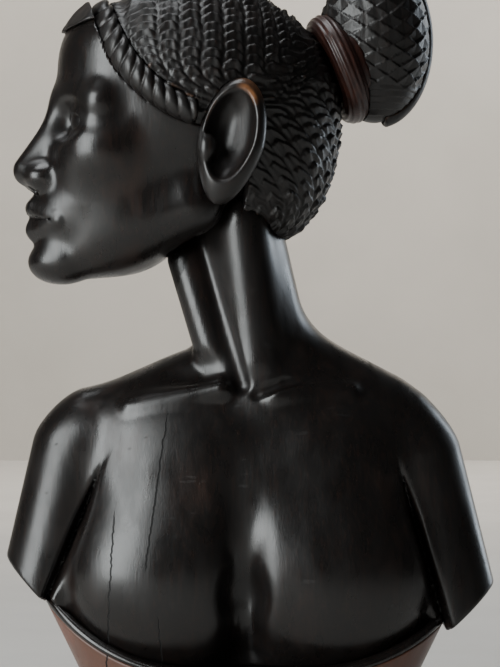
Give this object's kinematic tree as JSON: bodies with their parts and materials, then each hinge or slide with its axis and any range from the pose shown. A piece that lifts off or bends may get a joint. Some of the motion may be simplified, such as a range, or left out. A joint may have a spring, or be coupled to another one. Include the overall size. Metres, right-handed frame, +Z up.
{
  "type": "carved wooden portrait bust",
  "caption": "Dark polished wooden bust of a woman with her head turned in profile, plaited hair in a ringed bun, arms cut short, standing on a flared oval plinth",
  "frame": {"origin": "centre of the flat foot of the plinth, on the surface the bust stands on", "axes": "+Z up; the chest faces -Y; the figure's left arm is at +X and its face looks toward -X"},
  "size_m": [0.2184, 0.1144, 0.3728],
  "materials": {
    "black_wood": "black stained hardwood, waxed and polished",
    "worn_wood": "dark reddish brown hardwood, stain worn thin, waxed"
  },
  "bodies": {
    "root": {"plinth": "worn_wood", "rim": "black_wood", "torso": "black_wood", "right_arm": "black_wood", "left_arm": "black_wood", "neck": "black_wood", "head": "black_wood", "hair_cap": "black_wood", "fringe": "black_wood", "front_braid": "black_wood", "left_ear": "black_wood", "right_ear": "black_wood", "hair_band": "worn_wood", "bun": "black_wood", "bun_strand": "black_wood"}
  },
  "joints": []
}
